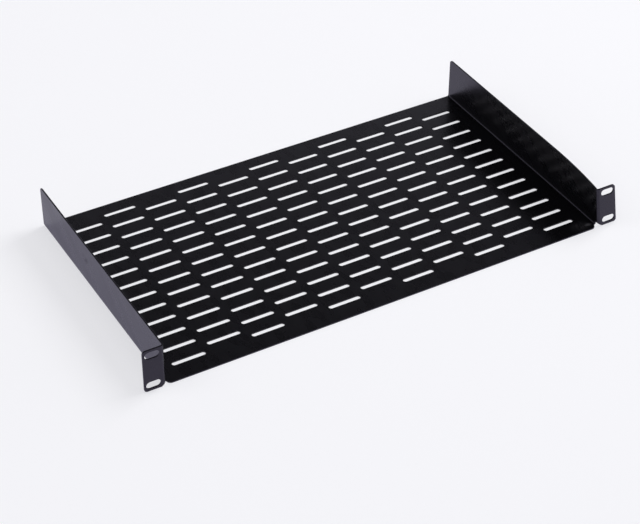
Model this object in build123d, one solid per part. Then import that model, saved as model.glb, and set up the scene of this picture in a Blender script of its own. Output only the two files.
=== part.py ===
from build123d import *
from math import sqrt
import os

# Cantilever rack shelf, one rack unit high, cut and folded from a single steel sheet.
# Millimetres. +X runs across the rack to the right, +Y from the front edge to the back,
# +Z up. The origin is on the underside of the tray, at the middle of its width and depth.

# Sheet
sheet = 1.5
fold_inner_radius = 1.5

# Front panel outline of one rack unit
panel_width = 482.6
panel_height = 43.66
ear_width = 18.8
depth = 254.0

# Screw slots in the ears, centred these distances in from the panel outline
screw_margin_x = 8.74
screw_margin_z = 5.955
screw_slot_length = 13.5
screw_slot_width = 7.0

# Ventilation slots in the tray, in columns that step back half a pitch by turns
vent_length = 31.75
vent_width = 4.76
vent_pitch_x = 38.1
vent_pitch_y = 19.05
vent_setback = 20.0
vent_back_margin = 12.0

# Corners and the reliefs where tray, flange and ear meet
corner_radius = 3.0
relief_depth = 4.5
relief_reach = 0.5
lip_corner_radius = 4.0

# The right front corner is bent in by a knock: the flange's top edge bows inwards over
# bow_length, the head of the ear leans in with it, its foot swings out and it stands back
bow_length = 75.0
head_in = 5.3
foot_out = 1.4
ear_back = 0.8

# Every cutter runs past the sheet by this much
overrun = 5.0

# Worked out from the sizes above
fold_outer_radius = fold_inner_radius + sheet
half_panel = panel_width / 2
half_body = half_panel - ear_width
half_flat = half_body - fold_outer_radius
inner_x = half_body - sheet
slot_x = half_panel - screw_margin_x
slot_heights = (screw_margin_z, panel_height - screw_margin_z)
front_y = -depth / 2
back_y = depth / 2
fold_end_y = front_y + relief_depth
bow_start_y = front_y + bow_length
bow_radius = (bow_length**2 + head_in**2) / (2 * head_in)
bow_reach = bow_length - relief_depth
bow_in = bow_radius - sqrt(bow_radius**2 - bow_reach**2)


def slab(low_x, high_x, low_y, high_y, height):
    """Block standing on the floor plane over a rectangle in plan."""
    block = Box(high_x - low_x, high_y - low_y, height, align=(Align.MIN, Align.MIN, Align.MIN))
    return Pos(low_x, low_y, 0) * block


def bowed_stretch():
    """Front stretch of the right flange: straight along its foot, an arc along its top."""
    foot = Polyline(
        (half_body, bow_start_y), (half_body, fold_end_y), (inner_x, fold_end_y),
        (inner_x, bow_start_y), close=True)
    outer = TangentArc(
        (half_body, bow_start_y), (half_body - bow_in, fold_end_y), tangent=(0, -1))
    inner = TangentArc(
        (inner_x, bow_start_y), (inner_x - bow_in, fold_end_y), tangent=(0, -1))
    top = [outer, Line(outer @ 1, inner @ 1), inner, Line(inner @ 0, outer @ 0)]
    top_face = make_face(Curve() + top).face()
    return loft([make_face(foot).face(), Pos(0, 0, panel_height) * top_face], ruled=True)


def fold(body, level, radius):
    """Round the two fold lines at one level: the underside is 0, the top of the tray 1."""
    along = body.edges().filter_by(lambda edge: edge.bounding_box().size.Y > corner_radius)
    return fillet(along.group_by(Axis.Z)[level], radius)


def channel():
    """Tray and both upturned flanges, from the reliefs to the back edge."""
    tray = slab(-inner_x, inner_x, fold_end_y, back_y, sheet)
    left = slab(-half_body, -inner_x, fold_end_y, back_y, panel_height)
    right = slab(inner_x, half_body, bow_start_y, back_y, panel_height)
    folded = fold(fold(tray + left + right + bowed_stretch(), 1, fold_inner_radius), 0,
                  fold_outer_radius)
    top_back = folded.edges().filter_by(Axis.X).group_by(Axis.Y)[-1].group_by(Axis.Z)[-1]
    return fillet(top_back, corner_radius)


def front_lip():
    """Flat front of the tray, with round corners where the side folds stop."""
    half_lip = half_flat - relief_reach
    lip = slab(-half_lip, half_lip, front_y, fold_end_y, sheet)
    front_corners = lip.edges().filter_by(Axis.Z).group_by(Axis.Y)[0]
    return fillet(front_corners, lip_corner_radius)


def bend_plan(leg_in, corner_in, back):
    """Plan of a right ear's bend; its leg and corner may stand inwards, its ear back."""
    face_y = front_y + back
    flat_x = half_body - corner_in + fold_outer_radius
    front = FilletPolyline(
        (inner_x - leg_in, fold_end_y), (inner_x - corner_in, face_y), (flat_x, face_y),
        radius=fold_outer_radius)
    rear = FilletPolyline(
        (half_body - leg_in, fold_end_y), (half_body - corner_in, face_y + sheet),
        (flat_x, face_y + sheet), radius=fold_inner_radius)
    ends = [Line(front @ 0, rear @ 0), Line(front @ 1, rear @ 1)]
    return make_face([*front.edges(), *rear.edges(), *ends])


def ear_flat(foot_in, top_in, back):
    """Flat of a right ear from its bend to its tip, which may lean and stand back."""
    start_x = half_body + fold_outer_radius
    outline = Polyline(
        (start_x - foot_in, 0), (half_panel - foot_in, 0),
        (half_panel - top_in, panel_height), (start_x - top_in, panel_height), close=True)
    rear_plane = Plane(
        origin=(0, front_y + back + sheet, 0), x_dir=(1, 0, 0), z_dir=(0, -1, 0))
    flat = extrude(rear_plane * make_face(outline), amount=sheet)
    tips = flat.edges().filter_by(Axis.Y).filter_by(lambda edge: edge.center().X > slot_x)
    return fillet(tips, corner_radius)


def relief_wedge(out, back):
    """45 degree cut under the bend of a right ear, seen square to the middle of that bend."""
    bend_centre = (half_body + fold_inner_radius + out, front_y + fold_outer_radius + back, 0)
    across_bend = Plane(origin=bend_centre, x_dir=(-1, 1, 0), z_dir=(1, 1, 0))
    start = -(fold_outer_radius + relief_reach) / sqrt(2)
    far = fold_outer_radius + relief_depth
    outline = Polyline(
        (start - overrun, -overrun), (far, far - start), (far, -overrun), close=True)
    return extrude(across_bend * make_face(outline), amount=far, both=True)


def left_ear():
    """Square ear at the left: front end of the flange folded outwards."""
    bend = extrude(bend_plan(0, 0, 0), amount=panel_height)
    return mirror(bend + ear_flat(0, 0, 0) - relief_wedge(0, 0), about=Plane.YZ)


def right_ear():
    """Bent-in ear at the right, from its foot to its head."""
    foot = bend_plan(0, -foot_out, ear_back)
    head = Pos(0, 0, panel_height) * bend_plan(bow_in, head_in, ear_back)
    bend = loft([foot, head], ruled=True)
    return bend + ear_flat(-foot_out, head_in, ear_back) - relief_wedge(foot_out, ear_back)


def right_slot_x(height):
    """Middle of a right screw slot, which follows the lean of its ear."""
    return slot_x + foot_out - (head_in + foot_out) * height / panel_height


def screw_slots():
    """Cutters for the four rack screw slots."""
    slot = SlotOverall(screw_slot_length, screw_slot_width)
    places = [Pos(-slot_x, height) for height in slot_heights]
    places += [Pos(right_slot_x(height), height) for height in slot_heights]
    slots = Sketch() + [place * slot for place in places]
    front_plane = Plane(origin=(0, front_y, 0), x_dir=(1, 0, 0), z_dir=(0, -1, 0))
    return extrude(front_plane * slots, amount=overrun, both=True)


def vents():
    """Cutters for the ventilation slots: every other column is set back half a pitch."""
    columns = int((2 * half_flat - vent_length) // vent_pitch_x) + 1
    half_step = vent_pitch_y / 2
    row_room = depth - vent_setback - half_step - vent_back_margin
    rows = int(row_room // vent_pitch_y) + 1
    slot = SlotOverall(vent_length, vent_width)
    slots = []
    for column in range(columns):
        x = (column - (columns - 1) / 2) * vent_pitch_x
        first_y = front_y + vent_setback + (column % 2) * half_step
        slots += [Pos(x, first_y + row * vent_pitch_y) * slot for row in range(rows)]
    return extrude(Sketch() + slots, amount=sheet + overrun, both=True)


def folded_shelf():
    """The whole shelf, one sheet."""
    body = channel() + front_lip() + left_ear() + right_ear()
    return body - vents() - screw_slots()


os.makedirs("parts", exist_ok=True)
export_step(folded_shelf(), "parts/folded_shelf.step")
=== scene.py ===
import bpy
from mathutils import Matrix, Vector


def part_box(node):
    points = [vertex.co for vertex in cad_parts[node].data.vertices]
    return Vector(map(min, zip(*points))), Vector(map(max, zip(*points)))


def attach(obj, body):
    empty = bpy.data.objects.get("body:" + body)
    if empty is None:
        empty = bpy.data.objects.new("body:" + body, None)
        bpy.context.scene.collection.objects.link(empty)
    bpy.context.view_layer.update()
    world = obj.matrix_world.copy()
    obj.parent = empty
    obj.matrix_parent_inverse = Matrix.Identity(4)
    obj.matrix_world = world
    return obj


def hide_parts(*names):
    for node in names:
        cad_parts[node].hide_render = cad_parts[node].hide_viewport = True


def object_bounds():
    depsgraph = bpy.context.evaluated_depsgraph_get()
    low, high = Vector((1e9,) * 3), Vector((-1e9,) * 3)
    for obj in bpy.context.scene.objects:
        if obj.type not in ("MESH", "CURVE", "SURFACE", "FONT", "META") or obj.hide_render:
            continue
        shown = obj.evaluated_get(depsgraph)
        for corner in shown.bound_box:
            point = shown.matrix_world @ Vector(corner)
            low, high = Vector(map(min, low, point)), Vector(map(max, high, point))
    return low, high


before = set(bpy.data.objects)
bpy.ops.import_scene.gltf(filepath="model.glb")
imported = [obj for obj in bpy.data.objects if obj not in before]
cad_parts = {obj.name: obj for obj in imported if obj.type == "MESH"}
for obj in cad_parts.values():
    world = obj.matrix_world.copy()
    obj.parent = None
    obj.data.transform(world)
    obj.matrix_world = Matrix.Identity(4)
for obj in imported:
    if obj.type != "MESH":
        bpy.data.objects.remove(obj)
CAD_BOX = [list(corner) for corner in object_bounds()]

# Cantilever rack shelf: one folded sheet in satin black powder coat, in a pale studio.
# Everything is in metres, in the frame of the CAD model.

import logging
from dataclasses import dataclass, field
from enum import Enum
from math import cos, hypot, pi, radians, sqrt
from typing import Callable

import bmesh
import bpy
from mathutils import Vector

log = logging.getLogger("rack_shelf")

NODE = "folded_shelf"
TOUCH = 1e-6  # two places closer than this are one place, in metres
MERGE = 1e-5  # points closer than this are merged into one, in metres
THIN = 1e-3  # scale of a flat plane along the axis on which it has no depth
CIRCULAR = 0.5  # profile of a bevel that follows a circle
NOISE_DETAIL = 1.0  # one finer layer in each noise, so that the patterns stay soft
# Sockets that a Mix node has once for each type of data
MIX_FROM, MIX_TO, MIX_RESULT = 6, 7, 2  # colours
MIX_NUMBER_FROM, MIX_NUMBER_TO = 2, 3


def mm(length: float) -> float:
    """Turn millimetres into Blender's metres."""
    return length / 1000


def srgb(colour: str) -> tuple[float, float, float, float]:
    """Turn an sRGB hex colour into Blender's linear one.

    Args:
        colour: the colour as #rrggbb.

    Returns:
        Linear red, green and blue, and full opacity.
    """
    shares = [int(colour[place:place + 2], 16) / 255 for place in (1, 3, 5)]
    # The sRGB standard's own curve: a straight foot, and a power above it.
    linear = [s / 12.92 if s <= 0.04045 else ((s + 0.055) / 1.055) ** 2.4 for s in shares]
    return (*linear, 1.0)


def near(one: float, other: float) -> bool:
    """Whether two places on a line are the same."""
    return abs(one - other) < TOUCH


def add_node(tree: bpy.types.NodeTree, kind: str, settings: dict[str | int, object] | None = None,
             links: dict[str | int, bpy.types.NodeSocket] | None = None) -> bpy.types.Node:
    """Add one shader node with its settings and what feeds it.

    Args:
        tree: the material's or the world's nodes.
        kind: Blender's name for the type of node.
        settings: values by the name of an input, or of an option of the node.
        links: output sockets by the name or number of the input that they feed.

    Returns:
        The new node.
    """
    node = tree.nodes.new(kind)
    for name, value in (settings or {}).items():
        if isinstance(name, int) or name in node.inputs:
            node.inputs[name].default_value = value
        else:
            setattr(node, name, value)
    for name, output in (links or {}).items():
        tree.links.new(output, node.inputs[name])
    return node


def stretched_noise(tree: bpy.types.NodeTree, place: bpy.types.NodeSocket, width: float,
                    stretch: tuple[float, float, float] = (1.0, 1.0, 1.0),
                    turn: tuple[float, float, float] = (0.0, 0.0, 0.0)) -> bpy.types.NodeSocket:
    """Add noise whose grains are of a real width, and may be drawn out into streaks.

    Args:
        tree: the material's nodes.
        place: the place that the noise is read at, in metres.
        width: width of a grain, in metres.
        stretch: how many times a grain is longer along each axis.
        turn: the streaks' turn about each axis.

    Returns:
        The noise, from 0 to 1.
    """
    turned = add_node(tree, "ShaderNodeMapping", {
        "vector_type": "TEXTURE", "Rotation": turn, "Scale": stretch}, {"Vector": place})
    noise = add_node(tree, "ShaderNodeTexNoise", {
        "Scale": 1 / width, "Detail": NOISE_DETAIL}, {"Vector": turned.outputs["Vector"]})
    return noise.outputs["Fac"]


class Grip(Enum):
    """What a selection in edit mode takes hold of."""

    POINTS = "VERT"
    EDGES = "EDGE"
    FACES = "FACE"


class Side(Enum):
    """The two sides of the shelf, by the sign of X."""

    LEFT = -1
    RIGHT = 1


class Lie(Enum):
    """How a flat stretch of the sheet lies, as the turn that a floor outline needs."""

    FLAT = 0.0
    UPRIGHT = pi / 2


def start_piece(name: str) -> bpy.types.Object:
    """Open a new, empty mesh at the origin in edit mode.

    Args:
        name: the piece's name.

    Returns:
        The new object.
    """
    bpy.ops.object.select_all(action="DESELECT")
    bpy.ops.object.add(type="MESH")
    piece = bpy.context.object
    piece.name = piece.data.name = name
    bpy.ops.object.mode_set(mode="EDIT")
    return piece


def select_alone(piece: bpy.types.Object) -> None:
    """Select one piece and nothing else, and make it the active one.

    Args:
        piece: the piece, in object mode.
    """
    bpy.ops.object.select_all(action="DESELECT")
    piece.select_set(True)
    bpy.context.view_layer.objects.active = piece


def open_piece(piece: bpy.types.Object) -> None:
    """Select one piece alone and open its mesh in edit mode."""
    select_alone(piece)
    bpy.ops.object.mode_set(mode="EDIT")


def close_piece() -> None:
    """Go back from edit mode to object mode."""
    bpy.ops.object.mode_set(mode="OBJECT")


def copy_piece(piece: bpy.types.Object, name: str) -> bpy.types.Object:
    """Copy a piece with a mesh of its own.

    Args:
        piece: what is copied.
        name: the copy's name.

    Returns:
        The copy, selected alone.
    """
    select_alone(piece)
    bpy.ops.object.duplicate(linked=False)
    copy = bpy.context.object
    copy.name = copy.data.name = name
    return copy


def join_pieces(pieces: list[bpy.types.Object]) -> bpy.types.Object:
    """Join pieces into the first one and merge the points that meet.

    Args:
        pieces: the pieces, the one that is kept first.

    Returns:
        The joined piece.
    """
    bpy.ops.object.select_all(action="DESELECT")
    for piece in pieces:
        piece.select_set(True)
    bpy.context.view_layer.objects.active = pieces[0]
    bpy.ops.object.join()
    open_piece(pieces[0])
    bpy.ops.mesh.select_all(action="SELECT")
    bpy.ops.mesh.remove_doubles(threshold=MERGE)
    close_piece()
    return pieces[0]


def pick(grip: Grip, test: Callable[[Vector], bool]) -> None:
    """Select, in edit mode, what passes a test with all of its points.

    Args:
        grip: whether points, edges or faces are picked.
        test: says of a point's place whether it counts.
    """
    bpy.ops.mesh.select_mode(type=grip.value)
    bpy.ops.mesh.select_all(action="DESELECT")
    mesh = bmesh.from_edit_mesh(bpy.context.object.data)
    kinds = {Grip.POINTS: mesh.verts, Grip.EDGES: mesh.edges, Grip.FACES: mesh.faces}
    for item in kinds[grip]:
        points = [item] if grip is Grip.POINTS else item.verts
        if all(test(point.co) for point in points):
            item.select_set(True)
    mesh.select_flush_mode()
    bmesh.update_edit_mesh(bpy.context.object.data)


def move(x: float = 0.0, y: float = 0.0, z: float = 0.0) -> None:
    """Move what is selected."""
    bpy.ops.transform.translate(value=(x, y, z))


def grow(x: float = 0.0, y: float = 0.0, z: float = 0.0) -> None:
    """Extrude the selected edges and move the new ones."""
    bpy.ops.mesh.extrude_edges_move(TRANSFORM_OT_translate={"value": (x, y, z)})


def round_points(radius: float, steps: int) -> None:
    """Round the selected corners of a flat stretch.

    Args:
        radius: the corner's radius.
        steps: flat steps of the arc.
    """
    bpy.ops.mesh.bevel(offset=radius, segments=steps, affect="VERTICES",
                       profile=CIRCULAR)


def repeat(piece: bpy.types.Object, count: int, x: float = 0.0, y: float = 0.0) -> None:
    """Repeat a piece in a row and merge where the copies meet.

    Args:
        piece: the piece, in object mode.
        count: how many there are in the end.
        x: step across.
        y: step back.
    """
    row = piece.modifiers.new("row", "ARRAY")
    row.count = count
    row.use_relative_offset = False
    row.use_constant_offset = True
    row.constant_offset_displace = (x, y, 0.0)
    row.use_merge_vertices = True
    row.merge_threshold = MERGE
    bpy.context.view_layer.objects.active = piece
    bpy.ops.object.modifier_apply(modifier=row.name)


@dataclass(frozen=True)
class SlotShape:
    """A slot with round ends, punched through the sheet."""

    length: float
    width: float
    arc_steps: int = 24
    border: float = mm(0.8)

    def ring(self, centre: Vector, lie: Lie) -> None:
        """Add a narrow band of faces round the slot's opening to the open mesh.

        Args:
            centre: the slot's middle.
            lie: how the sheet lies there.
        """
        half_step = pi / self.arc_steps
        radius = self.width / 2 / cos(half_step)
        turn = (0.0, 0.0, half_step) if lie is Lie.FLAT else (lie.value, half_step, 0.0)
        bpy.ops.mesh.primitive_circle_add(
            vertices=self.arc_steps, radius=radius, location=centre, rotation=turn)
        wider = 1 + self.border / radius
        bpy.ops.mesh.extrude_edges_move()
        bpy.ops.transform.resize(value=(wider, wider, wider), center_override=centre)
        reach = radius + self.border + TOUCH
        half_straight = (self.length - self.width) / 2

        def is_mine(place: Vector) -> bool:
            """Whether a point is part of this slot's band."""
            return (place - centre).length < reach

        for side in Side:
            pick(Grip.POINTS, lambda p: is_mine(p) and side.value * (p.x - centre.x) > 0)
            move(x=side.value * half_straight)

    def cell(self, centre: Vector, low: Vector, high: Vector, lie: Lie,
             finish_outline: Callable[[], None]) -> None:
        """Add a rectangle of sheet with this slot in it to the open mesh.

        Args:
            centre: the slot's middle.
            low: the rectangle's lowest corner.
            high: the rectangle's highest corner.
            lie: how the sheet lies there.
            finish_outline: shapes the rectangle's outline before the sheet fills it.
        """
        self.ring(centre, lie)
        middle = (low + high) / 2
        bpy.ops.mesh.primitive_plane_add(size=1.0, location=middle, rotation=(lie.value, 0, 0))
        size = [max(length, THIN) for length in high - low]
        bpy.ops.transform.resize(value=size, center_override=middle)
        finish_outline()
        self.pick_outside(centre, Grip.FACES)
        bpy.ops.mesh.delete(type="ONLY_FACE")
        self.pick_outside(centre, Grip.EDGES)
        bpy.ops.mesh.fill(use_beauty=True)

    def pick_outside(self, centre: Vector, grip: Grip) -> None:
        """Select what lies outside the slot's opening, its band's outer edge included.

        Args:
            centre: the slot's middle.
            grip: whether edges or faces are picked.
        """
        inside = self.width / 2 + self.border / 2
        half_straight = (self.length - self.width) / 2

        def is_outside(place: Vector) -> bool:
            """Whether a point is beyond the middle of the slot's band."""
            along = max(abs(place.x - centre.x) - half_straight, 0.0)
            return hypot(along, (place - centre).yz.length) > inside

        pick(grip, is_outside)


@dataclass
class Sheet:
    """Sizes that the whole folded sheet shares. Its mesh is first made without thickness."""

    low: Vector
    high: Vector
    thickness: float = mm(1.5)
    fold_inner_radius: float = mm(1.5)
    fold_steps: int = 8
    panel_width: float = mm(482.6)
    ear_width: float = mm(18.8)
    corner_radius: float = mm(3.0)
    corner_steps: int = 6
    relief_depth: float = mm(4.5)
    relief_reach: float = mm(0.5)
    half_panel: float = field(init=False)
    half_body: float = field(init=False)
    half_flat: float = field(init=False)
    fold_radius: float = field(init=False)
    floor_level: float = field(init=False)
    wall_x: float = field(init=False)
    ear_y: float = field(init=False)
    fold_end: float = field(init=False)
    bend_centre: Vector = field(init=False)

    def __post_init__(self) -> None:
        """Work out the middle layer of the sheet from its sizes."""
        self.half_panel = self.panel_width / 2
        self.half_body = self.half_panel - self.ear_width
        outer_radius = self.fold_inner_radius + self.thickness
        self.fold_radius = self.fold_inner_radius + self.thickness / 2
        self.half_flat = self.half_body - outer_radius
        self.floor_level = self.low.z + self.thickness / 2
        self.wall_x = self.half_body - self.thickness / 2
        self.ear_y = self.low.y + self.thickness / 2
        self.fold_end = self.low.y + self.relief_depth
        self.bend_centre = Vector(
            (self.half_body + self.fold_inner_radius, self.low.y + outer_radius, self.low.z))

    def relief_top(self) -> float:
        """Height at which the 45 degree relief meets the flange."""
        rise = self.fold_radius + self.fold_end - self.bend_centre.y
        return self.relief_start() + rise / sqrt(2)

    def relief_start(self) -> float:
        """Height of the 45 degree relief over the middle of the bend."""
        outer_radius = self.fold_inner_radius + self.thickness
        return (outer_radius + self.relief_reach) / sqrt(2)


@dataclass
class Tray:
    """The flat tray with its columns of vents, and the two side folds and flanges."""

    sheet: Sheet
    vent: SlotShape = SlotShape(length=mm(31.75), width=mm(4.76))
    pitch_x: float = mm(38.1)
    pitch_y: float = mm(19.05)
    setback: float = mm(20.0)
    columns: int = 11
    rows: int = 12
    lip_corner_radius: float = mm(4.0)

    def column(self) -> bpy.types.Object:
        """Model the leftmost column of vents, with half a plain cell behind it.

        Returns:
            The column, in object mode.
        """
        piece = start_piece("tray_column")
        x = -(self.columns - 1) / 2 * self.pitch_x
        centre = Vector((x, self.sheet.low.y + self.setback, self.sheet.floor_level))
        half = Vector((self.pitch_x / 2, self.pitch_y / 2, 0.0))

        def split_sides() -> None:
            """Give each side a point in the middle, where the next column's cells meet."""
            for x in (centre.x - half.x, centre.x + half.x):
                pick(Grip.EDGES, lambda p: near(p.x, x))
                bpy.ops.mesh.subdivide(number_cuts=1)

        self.vent.cell(centre, centre - half, centre + half, Lie.FLAT, split_sides)
        close_piece()
        repeat(piece, self.rows, y=self.pitch_y)
        open_piece(piece)
        back = centre.y + (self.rows - 0.5) * self.pitch_y
        pick(Grip.EDGES, lambda p: near(p.y, back))
        grow(y=self.pitch_y / 2)
        close_piece()
        return piece

    def vent_field(self) -> bpy.types.Object:
        """Repeat the column: every other one is the first turned end for end.

        Returns:
            The field of vents, in object mode.
        """
        plain = self.column()
        turned = copy_piece(plain, "turned_column")
        open_piece(turned)
        bpy.ops.mesh.select_all(action="SELECT")
        front, back = self.field_ends()
        pivot = (-(self.columns - 2) / 2 * self.pitch_x, (front + back) / 2, 0.0)
        bpy.ops.transform.rotate(value=pi, orient_axis="Z", center_override=pivot)
        close_piece()
        repeat(plain, (self.columns + 1) // 2, x=2 * self.pitch_x)
        repeat(turned, self.columns // 2, x=2 * self.pitch_x)
        return join_pieces([plain, turned])

    def field_ends(self) -> tuple[float, float]:
        """Front and back end of the field of vents."""
        front = self.sheet.low.y + self.setback - self.pitch_y / 2
        return front, front + (self.rows + 0.5) * self.pitch_y

    def build(self) -> bpy.types.Object:
        """Model the tray with its margins, side folds and flanges.

        Returns:
            The middle layer of tray and flanges, in object mode.
        """
        piece = self.vent_field()
        piece.name = piece.data.name = "tray"
        open_piece(piece)
        front, back = self.field_ends()
        pick(Grip.EDGES, lambda p: near(p.y, front))
        grow(y=self.sheet.fold_end - front)
        pick(Grip.EDGES, lambda p: near(p.y, back))
        grow(y=self.sheet.high.y - back)
        half_field = self.columns / 2 * self.pitch_x
        for side in Side:
            pick(Grip.EDGES, lambda p: near(p.x, side.value * half_field))
            grow(x=side.value * (self.sheet.half_flat - half_field))
            self.flange(side)
        self.lip()
        close_piece()
        return piece

    def lip(self) -> None:
        """Grow the front lip past the ends of the side folds and round its corners."""
        sheet = self.sheet
        pick(Grip.EDGES, lambda p: near(p.y, sheet.fold_end) and near(p.z, sheet.floor_level))
        grow(y=sheet.low.y - sheet.fold_end)
        for side in Side:
            end = side.value * sheet.half_flat
            pick(Grip.POINTS, lambda p: near(p.x, end) and near(p.y, sheet.low.y))
            move(x=-side.value * sheet.relief_reach)
            round_points(self.lip_corner_radius, sheet.corner_steps)

    def flange(self, side: Side) -> None:
        """Fold one side of the tray up and grow the flange from the fold.

        Args:
            side: which side.
        """
        sheet = self.sheet
        edge = side.value * sheet.half_flat
        centre = (edge, 0.0, sheet.floor_level + sheet.fold_radius)
        pick(Grip.EDGES, lambda p: near(p.x, edge))
        bpy.ops.mesh.spin(steps=sheet.fold_steps, angle=side.value * pi / 2, center=centre,
                          axis=(0.0, 1.0, 0.0))
        levels = [centre[2], sheet.relief_top(), (sheet.low.z + sheet.high.z) / 2, sheet.high.z]
        for level, next_level in zip(levels, levels[1:]):
            grow(z=next_level - level)
        corner = Vector((side.value * sheet.wall_x, sheet.high.y, sheet.high.z))
        pick(Grip.POINTS, lambda p: (p - corner).length < MERGE)
        round_points(sheet.corner_radius, sheet.corner_steps)


@dataclass
class Ear:
    """An ear with its two screw slots and the bend that joins it to the flange."""

    sheet: Sheet
    screw_slot: SlotShape = SlotShape(length=mm(13.5), width=mm(7.0))
    margin_x: float = mm(8.74)
    margin_z: float = mm(5.955)

    def build(self) -> bpy.types.Object:
        """Model the right ear, square to the flange.

        Returns:
            The middle layer of the ear, in object mode.
        """
        sheet = self.sheet
        piece = start_piece("right_ear")
        middle_z = (sheet.low.z + sheet.high.z) / 2

        def round_tip() -> None:
            """Round the tip's lower corner."""
            pick(Grip.POINTS, lambda p: near(p.x, sheet.half_panel) and near(p.z, sheet.low.z))
            round_points(sheet.corner_radius, sheet.corner_steps)

        self.screw_slot.cell(
            Vector((sheet.half_panel - self.margin_x, sheet.ear_y, sheet.low.z + self.margin_z)),
            Vector((sheet.bend_centre.x, sheet.ear_y, sheet.low.z)),
            Vector((sheet.half_panel, sheet.ear_y, middle_z)), Lie.UPRIGHT, round_tip)
        bpy.ops.mesh.select_all(action="SELECT")
        bpy.ops.mesh.duplicate()
        bpy.ops.transform.resize(value=(1.0, 1.0, -1.0), center_override=(0.0, 0.0, middle_z))
        bpy.ops.mesh.select_all(action="SELECT")
        bpy.ops.mesh.remove_doubles(threshold=MERGE)
        self.bend()
        close_piece()
        return piece

    def bend(self) -> None:
        """Bend the ear's root back to the flange and cut the relief under the bend."""
        sheet = self.sheet
        pick(Grip.EDGES, lambda p: near(p.x, sheet.bend_centre.x))
        bpy.ops.mesh.spin(steps=sheet.fold_steps, angle=pi / 2, center=sheet.bend_centre,
                          axis=(0.0, 0.0, 1.0))
        grow(y=sheet.fold_end - sheet.bend_centre.y)
        bpy.ops.mesh.select_all(action="SELECT")
        over_bend = sheet.bend_centre + Vector((0.0, 0.0, sheet.relief_start()))
        slope = Vector((1.0, -1.0, sqrt(2))) / 2
        bpy.ops.mesh.bisect(plane_co=over_bend, plane_no=slope, clear_inner=True)


@dataclass
class Knock:
    """The blow that bent the right front corner in."""

    sheet: Sheet
    bow_length: float = mm(75.0)
    head_in: float = mm(5.3)
    foot_out: float = mm(1.4)
    ear_back: float = mm(0.8)

    def bow(self, y: float) -> float:
        """How far the flange's top edge is bowed in at a place along it.

        Args:
            y: the place.

        Returns:
            The distance, in metres.
        """
        radius = (self.bow_length ** 2 + self.head_in ** 2) / (2 * self.head_in)
        reach = max(self.sheet.low.y + self.bow_length - y, 0.0)
        return radius - sqrt(radius ** 2 - reach ** 2)

    def bend_in(self, piece: bpy.types.Object) -> None:
        """Lean the front of the right flange and its ear; every point moves by its own amount.

        Args:
            piece: the middle layer of the whole sheet.
        """
        sheet = self.sheet
        for point in piece.data.vertices:
            x, y, z = point.co
            if x <= sheet.half_flat + TOUCH:
                continue
            height = (z - sheet.low.z) / (sheet.high.z - sheet.low.z)
            past = max(sheet.fold_end - y, 0.0) / (sheet.fold_end - sheet.ear_y)
            flange_in = self.bow(max(y, sheet.fold_end)) * height
            ear_in = (self.head_in + self.foot_out) * height - self.foot_out
            point.co.x -= (1 - past) * flange_in + past * ear_in
            point.co.y += past * self.ear_back


@dataclass(frozen=True)
class Mark:
    """A faint mark on the coat: a soft patch, broken up by fine streaks."""

    centre: tuple[float, float, float]
    reach: tuple[float, float, float]
    core: float = 0.2  # share of the reach that has the mark at its full strength
    paleness: float = 0.0  # share of the worn colour where the mark is strongest
    dulling: float = 0.0  # what it adds to the roughness there
    streak_width: float = mm(0.9)
    streak_stretch: tuple[float, float, float] = (1.0, 8.0, 1.0)
    streak_levels: tuple[float, float] = (0.35, 0.65)  # noise that gives none and all of it

    def mask(self, tree: bpy.types.NodeTree, place: bpy.types.NodeSocket) -> bpy.types.NodeSocket:
        """Add the nodes that say how strong the mark is at a place.

        Args:
            tree: the material's nodes.
            place: the place on the shelf, in metres.

        Returns:
            The strength, from 0 outside the mark to 1.
        """
        offset = add_node(tree, "ShaderNodeVectorMath", {
            "operation": "SUBTRACT", 1: self.centre}, {0: place})
        scaled = add_node(tree, "ShaderNodeVectorMath", {
            "operation": "DIVIDE", 1: self.reach}, {0: offset.outputs["Vector"]})
        away = add_node(tree, "ShaderNodeVectorMath", {"operation": "LENGTH"},
                        {0: scaled.outputs["Vector"]})
        patch = add_node(tree, "ShaderNodeMapRange", {
            "interpolation_type": "SMOOTHSTEP", "From Min": 1.0, "From Max": self.core},
            {"Value": away.outputs["Value"]})
        streaks = stretched_noise(tree, offset.outputs["Vector"], self.streak_width,
                                  self.streak_stretch)
        bare, full = self.streak_levels
        broken = add_node(tree, "ShaderNodeMapRange", {"From Min": bare, "From Max": full},
                          {"Value": streaks})
        strength = add_node(tree, "ShaderNodeMath", {"operation": "MULTIPLY"}, {
            0: patch.outputs["Result"], 1: broken.outputs["Result"]})
        return strength.outputs["Value"]


# Fine scuffs and one paler rub on the tray beside the bent-in corner, and a dull smudge on the
# outer face of the left flange.
CORNER_SCUFF = Mark(centre=(mm(206), mm(-119), mm(1.5)), reach=(mm(13), mm(9), mm(2)),
                    paleness=0.05)
CORNER_RUB = Mark(centre=(mm(214.5), mm(-120.5), mm(1.5)), reach=(mm(5), mm(3), mm(2)),
                  paleness=0.3, streak_stretch=(3.0, 1.0, 1.0))
FLANGE_SMUDGE = Mark(centre=(mm(-222.5), mm(29.5), mm(27.0)), reach=(mm(3), mm(9), mm(6)),
                     dulling=0.15, streak_width=mm(7), streak_stretch=(1.0, 1.0, 1.0))


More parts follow.
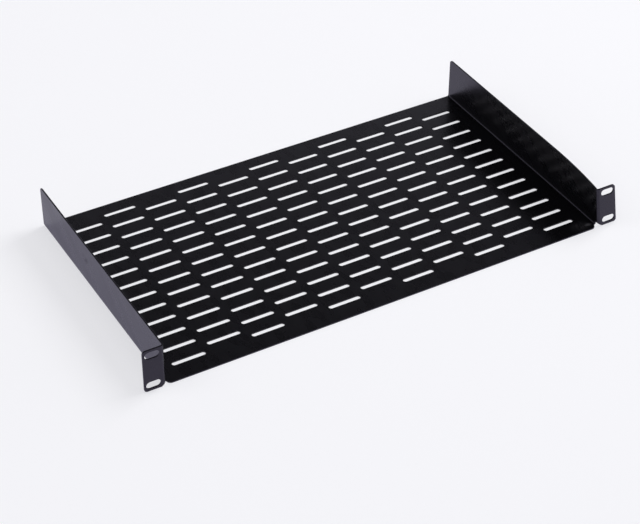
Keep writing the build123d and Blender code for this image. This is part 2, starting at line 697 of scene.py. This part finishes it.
@dataclass(frozen=True)
class SatinPowderCoat:
    """Black polyester powder coat, sprayed on the steel as dust and baked to a skin."""

    # To the eye: nearly black, with a soft, slightly violet gloss that turns the pale studio to
    # dark grey. Part of that violet is the coat's own gloss tint, and part is painted reflection
    # colour in the floor's glow that the gloss mirrors. Wiping leaves long streaks of a little
    # more or less gloss in it, and handling has left faint marks.
    colour: str = "#060607"
    worn_colour: str = "#a9a7ad"
    gloss_tint: str = "#f1e9ff"
    roughness: float = 0.28
    roughness_change: float = 0.022
    # The baked powder's waves are about 1 mm wide, too fine for the render, so they are drawn
    # as coarse as they need to show.
    wave_width: float = mm(2.2)
    wave_height: float = mm(0.004)
    wipe_width: float = mm(9.0)
    wipe_turn: tuple[float, float, float] = (radians(30), 0.0, 0.0)
    wipe_stretch: tuple[float, float, float] = (1.0, 8.0, 1.0)
    wipe_levels: tuple[float, float] = (0.3, 0.7)  # noise that gives the most and least gloss
    marks: tuple[Mark, ...] = (CORNER_SCUFF, CORNER_RUB, FLANGE_SMUDGE)

    def material(self) -> bpy.types.Material:
        """Make the material.

        Returns:
            The coat, named for the real finish.
        """
        coat = bpy.data.materials.new("satin_black_powder_coat")
        coat.use_nodes = True
        tree = coat.node_tree
        shader = tree.nodes["Principled BSDF"]
        shader.inputs["Specular Tint"].default_value = srgb(self.gloss_tint)
        place = add_node(tree, "ShaderNodeTexCoord").outputs["Object"]
        masks = [mark.mask(tree, place) for mark in self.marks]
        tree.links.new(self.worn_paint(tree, masks), shader.inputs["Base Color"])
        tree.links.new(self.dulled_skin(tree, place, masks), shader.inputs["Roughness"])
        wave = stretched_noise(tree, place, self.wave_width)
        bump = add_node(tree, "ShaderNodeBump", {"Distance": self.wave_height}, {"Height": wave})
        tree.links.new(bump.outputs["Normal"], shader.inputs["Normal"])
        return coat

    def worn_paint(self, tree: bpy.types.NodeTree,
                   masks: list[bpy.types.NodeSocket]) -> bpy.types.NodeSocket:
        """Lay the paler marks over the black, one after the other.

        Args:
            tree: the material's nodes.
            masks: how strong each mark is.

        Returns:
            The colour.
        """
        colour = None
        for mark, mask in zip(self.marks, masks):
            if not mark.paleness:
                continue
            share = add_node(tree, "ShaderNodeMath", {
                "operation": "MULTIPLY", 1: mark.paleness}, {0: mask})
            links = {"Factor": share.outputs["Value"]}
            if colour:
                links[MIX_FROM] = colour
            worn = add_node(tree, "ShaderNodeMix", {
                "data_type": "RGBA", MIX_FROM: srgb(self.colour), MIX_TO: srgb(self.worn_colour)},
                links)
            colour = worn.outputs[MIX_RESULT]
        return colour

    def dulled_skin(self, tree: bpy.types.NodeTree, place: bpy.types.NodeSocket,
                    masks: list[bpy.types.NodeSocket]) -> bpy.types.NodeSocket:
        """Vary the roughness in long, soft streaks and raise it where a mark is dull.

        Args:
            tree: the material's nodes.
            place: the place on the shelf, in metres.
            masks: how strong each mark is.

        Returns:
            The roughness.
        """
        streaks = stretched_noise(tree, place, self.wipe_width, self.wipe_stretch, self.wipe_turn)
        glossy, dull = self.wipe_levels
        wiped = add_node(tree, "ShaderNodeMapRange", {
            "From Min": glossy, "From Max": dull,
            "To Min": self.roughness - self.roughness_change,
            "To Max": self.roughness + self.roughness_change}, {"Value": streaks})
        rough = wiped.outputs["Result"]
        for mark, mask in zip(self.marks, masks):
            if mark.dulling:
                dulled = add_node(tree, "ShaderNodeMath", {
                    "operation": "MULTIPLY_ADD", 1: mark.dulling}, {0: mask, 2: rough})
                rough = dulled.outputs["Value"]
        return rough


@dataclass
class FoldedShelf:
    """The whole shelf, cut and folded from one sheet."""

    sheet: Sheet
    edge_radius: float = mm(0.25)
    edge_steps: int = 2
    edge_angle: float = radians(40)
    finish: SatinPowderCoat = SatinPowderCoat()

    def build(self) -> bpy.types.Object:
        """Model the shelf, give it its thickness and finish, and put it on the frame.

        Returns:
            The shelf.
        """
        right_ear = Ear(self.sheet).build()
        left_ear = copy_piece(right_ear, "left_ear")
        open_piece(left_ear)
        bpy.ops.mesh.select_all(action="SELECT")
        bpy.ops.transform.resize(value=(-1.0, 1.0, 1.0), center_override=(0.0, 0.0, 0.0))
        close_piece()
        piece = join_pieces([Tray(self.sheet).build(), left_ear, right_ear])
        piece.name = piece.data.name = "powder_coated_shelf"
        open_piece(piece)
        bpy.ops.mesh.select_all(action="SELECT")
        bpy.ops.mesh.normals_make_consistent(inside=False)
        close_piece()
        Knock(self.sheet).bend_in(piece)
        self.thicken(piece)
        self.soften_edges(piece)
        piece.data.materials.append(self.finish.material())
        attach(piece, "root")
        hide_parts(NODE)
        return piece

    def thicken(self, piece: bpy.types.Object) -> None:
        """Give the middle layer its thickness, and level what the lean lifts past the frame.

        Args:
            piece: the middle layer, in object mode.
        """
        wall = piece.modifiers.new("wall", "SOLIDIFY")
        wall.thickness = self.sheet.thickness
        wall.offset = 0.0
        wall.use_even_offset = True
        wall.use_quality_normals = True
        bpy.ops.object.modifier_apply(modifier=wall.name)
        open_piece(piece)
        bpy.ops.mesh.select_all(action="SELECT")
        bpy.ops.mesh.normals_make_consistent(inside=False)
        high = self.sheet.high
        pick(Grip.POINTS, lambda p: p.z > high.z)
        bpy.ops.transform.resize(value=(1.0, 1.0, 0.0), center_override=high)
        pick(Grip.POINTS, lambda p: p.x > high.x)
        bpy.ops.transform.resize(value=(0.0, 1.0, 1.0), center_override=high)
        close_piece()

    def soften_edges(self, piece: bpy.types.Object) -> None:
        """Round the cut edges as the powder coat does, and shade the folds smooth.

        Args:
            piece: the sheet with its thickness, in object mode.
        """
        bpy.ops.object.shade_smooth_by_angle(angle=self.edge_angle)
        edges = piece.modifiers.new("cut_edges", "BEVEL")
        edges.width = self.edge_radius
        edges.segments = self.edge_steps
        edges.limit_method = "ANGLE"
        edges.angle_limit = self.edge_angle
        edges.harden_normals = True
        bpy.ops.object.modifier_apply(modifier=edges.name)


@dataclass(frozen=True)
class SoftBox:
    """A square lamp that faces the shelf. Its own shape doesn't show in the gloss."""

    name: str
    place: tuple[float, float, float]
    size: float
    power: float

    def hang(self) -> None:
        """Hang the lamp and turn it towards the origin."""
        bpy.ops.object.light_add(type="AREA", location=self.place)
        lamp = bpy.context.object
        lamp.name = self.name
        lamp.data.size = self.size
        lamp.data.energy = self.power
        lamp.rotation_euler = (-Vector(self.place)).to_track_quat("-Z", "Y").to_euler()
        lamp.visible_glossy = False


@dataclass
class Studio:
    """Plain pale floor, soft light from both sides and above, and the camera."""

    # To the eye, the floor is a matt, nearly white paint that takes the shelf's soft shadow.
    # Part of its white is its own glow, for what looks at it straight or in the gloss. In the
    # gloss that glow is tinted violet, a painted reflection colour that gives the gloss a violet
    # cast.
    floor_size: float = 14.0
    floor_colour: str = "#f4f4f6"
    seen_colour: str = "#fbfbff"
    # painted reflection colour: the violet that the floor's glow has in the shelf's gloss
    painted_reflection_tint: str = "#e4e0ff"
    glow_seen: float = 0.6
    # From the first distance on the lamps fade, and by the second the glow is all the white.
    lit_reach: tuple[float, float] = (0.8, 2.4)
    glow_mirrored: float = 0.55
    # The glow that reflections see stops under the tray, so that its shade stays in them too.
    shaded_reach: tuple[float, float, float] = (mm(222), mm(127), 1.0)
    shade_edge: float = 0.96  # share of that reach where the shade starts to end
    soft_boxes: tuple[SoftBox, ...] = (
        SoftBox("soft_box_left", place=(-2.2, 0.6, 2.4), size=1.6, power=22.5),
        SoftBox("soft_box_right", place=(2.2, 0.2, 2.4), size=1.6, power=62.0),
        SoftBox("soft_box_top", place=(0.0, -0.2, 3.0), size=2.0, power=22.5))
    # The room's walls are pale up to wall_top, which is the rise of a line of sight of length 1.
    # The ceiling over them is dark, and the tray mirrors both.
    wall_colour: str = "#f4f4ff"
    wall_level: float = 0.98
    ceiling_level: float = 0.01
    background_level: float = 1.0  # what the camera sees past the floor
    wall_lean: tuple[float, float, float] = (-0.052, 0.0, 1.0)  # their top slopes a little
    wall_top: float = 0.466
    wall_blur: float = 0.05
    camera_place: tuple[float, float, float] = (-0.690563, -1.194667, 1.035331)
    camera_turn: tuple[float, float, float] = (52.0274, -0.2315, -29.7955)  # degrees
    lens: float = 105.093  # millimetres, as is the sensor
    sensor: float = 36.0
    nearest_seen: float = 0.01
    farthest_seen: float = 100.0

    def build(self) -> None:
        """Lay the floor, hang the lamps, light the world and place the camera."""
        self.floor()
        for soft_box in self.soft_boxes:
            soft_box.hang()
        self.world()
        self.camera()

    def floor(self) -> None:
        """Lay the floor and paint it."""
        bpy.ops.object.select_all(action="DESELECT")
        bpy.ops.mesh.primitive_plane_add(size=self.floor_size, location=(0.0, 0.0, CAD_BOX[0][2]))
        floor = bpy.context.object
        floor.name = "studio_floor"
        floor.data.materials.append(self.paint())

    def paint(self) -> bpy.types.Material:
        """Make the floor's paint, whose glow only the camera and reflections see.

        Returns:
            The material.
        """
        paint = bpy.data.materials.new("pale_studio_floor")
        paint.use_nodes = True
        tree = paint.node_tree
        tree.nodes.clear()
        matt = add_node(tree, "ShaderNodeBsdfDiffuse", {"Color": srgb(self.floor_colour)})
        path = add_node(tree, "ShaderNodeLightPath")
        place = add_node(tree, "ShaderNodeTexCoord").outputs["Object"]
        # The glow is violet where reflections see it: painted reflection colour for the shelf's
        # gloss.
        hue = add_node(tree, "ShaderNodeMix", {
            "data_type": "RGBA", MIX_FROM: srgb(self.painted_reflection_tint),
            MIX_TO: srgb(self.seen_colour)}, {"Factor": path.outputs["Is Camera Ray"]})
        glow = add_node(tree, "ShaderNodeEmission", {"Strength": 1.0},
                        {"Color": hue.outputs[MIX_RESULT]})
        mirrored = add_node(tree, "ShaderNodeMath", {"operation": "MULTIPLY"}, {
            0: path.outputs["Is Glossy Ray"], 1: self.mirrored_share(tree, place)})
        share = add_node(tree, "ShaderNodeMath", {"operation": "MULTIPLY_ADD"}, {
            0: path.outputs["Is Camera Ray"], 1: self.seen_share(tree, place),
            2: mirrored.outputs["Value"]})
        mixed = add_node(tree, "ShaderNodeMixShader", {}, {
            0: share.outputs["Value"], 1: matt.outputs["BSDF"], 2: glow.outputs["Emission"]})
        add_node(tree, "ShaderNodeOutputMaterial", {}, {"Surface": mixed.outputs["Shader"]})
        return paint

    def seen_share(self, tree: bpy.types.NodeTree,
                   place: bpy.types.NodeSocket) -> bpy.types.NodeSocket:
        """Add the nodes that say how much of the floor's white is glow to the camera.

        Args:
            tree: the floor's nodes.
            place: the place on the floor, in metres.

        Returns:
            The share, from 0 to 1.
        """
        distance = add_node(tree, "ShaderNodeVectorMath", {"operation": "LENGTH"}, {0: place})
        near_end, far_end = self.lit_reach
        share = add_node(tree, "ShaderNodeMapRange", {
            "interpolation_type": "SMOOTHSTEP", "From Min": near_end, "From Max": far_end,
            "To Min": self.glow_seen, "To Max": 1.0}, {"Value": distance.outputs["Value"]})
        return share.outputs["Result"]

    def mirrored_share(self, tree: bpy.types.NodeTree,
                       place: bpy.types.NodeSocket) -> bpy.types.NodeSocket:
        """Add the nodes that say how much of the floor's white is glow to reflections.

        Args:
            tree: the floor's nodes.
            place: the place on the floor, in metres.

        Returns:
            The share, from 0 under the tray.
        """
        scaled = add_node(tree, "ShaderNodeVectorMath", {
            "operation": "DIVIDE", 1: self.shaded_reach}, {0: place})
        away = add_node(tree, "ShaderNodeVectorMath", {"operation": "ABSOLUTE"},
                        {0: scaled.outputs["Vector"]})
        sides = add_node(tree, "ShaderNodeSeparateXYZ", {}, {"Vector": away.outputs["Vector"]})
        farthest = add_node(tree, "ShaderNodeMath", {"operation": "MAXIMUM"}, {
            0: sides.outputs["X"], 1: sides.outputs["Y"]})
        share = add_node(tree, "ShaderNodeMapRange", {
            "From Min": self.shade_edge, "From Max": 1.0, "To Min": 0.0,
            "To Max": self.glow_mirrored}, {"Value": farthest.outputs["Value"]})
        return share.outputs["Result"]

    def world(self) -> None:
        """Light the room: pale walls up to head height and a dark ceiling over them."""
        world = bpy.data.worlds.new("pale_studio")
        bpy.context.scene.world = world
        world.use_nodes = True
        tree = world.node_tree
        tree.nodes.clear()
        place = add_node(tree, "ShaderNodeTexCoord")
        height = add_node(tree, "ShaderNodeVectorMath", {
            "operation": "DOT_PRODUCT", 1: self.wall_lean}, {0: place.outputs["Generated"]})
        room = add_node(tree, "ShaderNodeMapRange", {
            "interpolation_type": "SMOOTHSTEP", "From Min": self.wall_top - self.wall_blur,
            "From Max": self.wall_top + self.wall_blur, "To Min": self.wall_level,
            "To Max": self.ceiling_level}, {"Value": height.outputs["Value"]})
        path = add_node(tree, "ShaderNodeLightPath")
        level = add_node(tree, "ShaderNodeMix", {
            "data_type": "FLOAT", MIX_NUMBER_TO: self.background_level}, {
            "Factor": path.outputs["Is Camera Ray"], MIX_NUMBER_FROM: room.outputs["Result"]})
        shine = add_node(tree, "ShaderNodeBackground", {"Color": srgb(self.wall_colour)}, {
            "Strength": level.outputs["Result"]})
        add_node(tree, "ShaderNodeOutputWorld", {}, {"Surface": shine.outputs["Background"]})

    def camera(self) -> None:
        """Place the camera where the photograph was taken from."""
        bpy.ops.object.camera_add(location=self.camera_place)
        camera = bpy.context.object
        camera.name = "studio_camera"
        camera.rotation_euler = [radians(turn) for turn in self.camera_turn]
        camera.data.lens = self.lens
        camera.data.sensor_width = self.sensor
        camera.data.clip_start = self.nearest_seen
        camera.data.clip_end = self.farthest_seen
        bpy.context.scene.camera = camera


def main() -> None:
    """Build the studio and the shelf."""
    logging.basicConfig(level=logging.INFO, format="%(name)s: %(message)s")
    low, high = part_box(NODE)
    Studio().build()
    shelf = FoldedShelf(Sheet(low, high)).build()
    log.info("%s has %d faces", shelf.name, len(shelf.data.polygons))
    bpy.context.scene.view_settings.view_transform = "Standard"


if __name__ == "__main__":
    main()
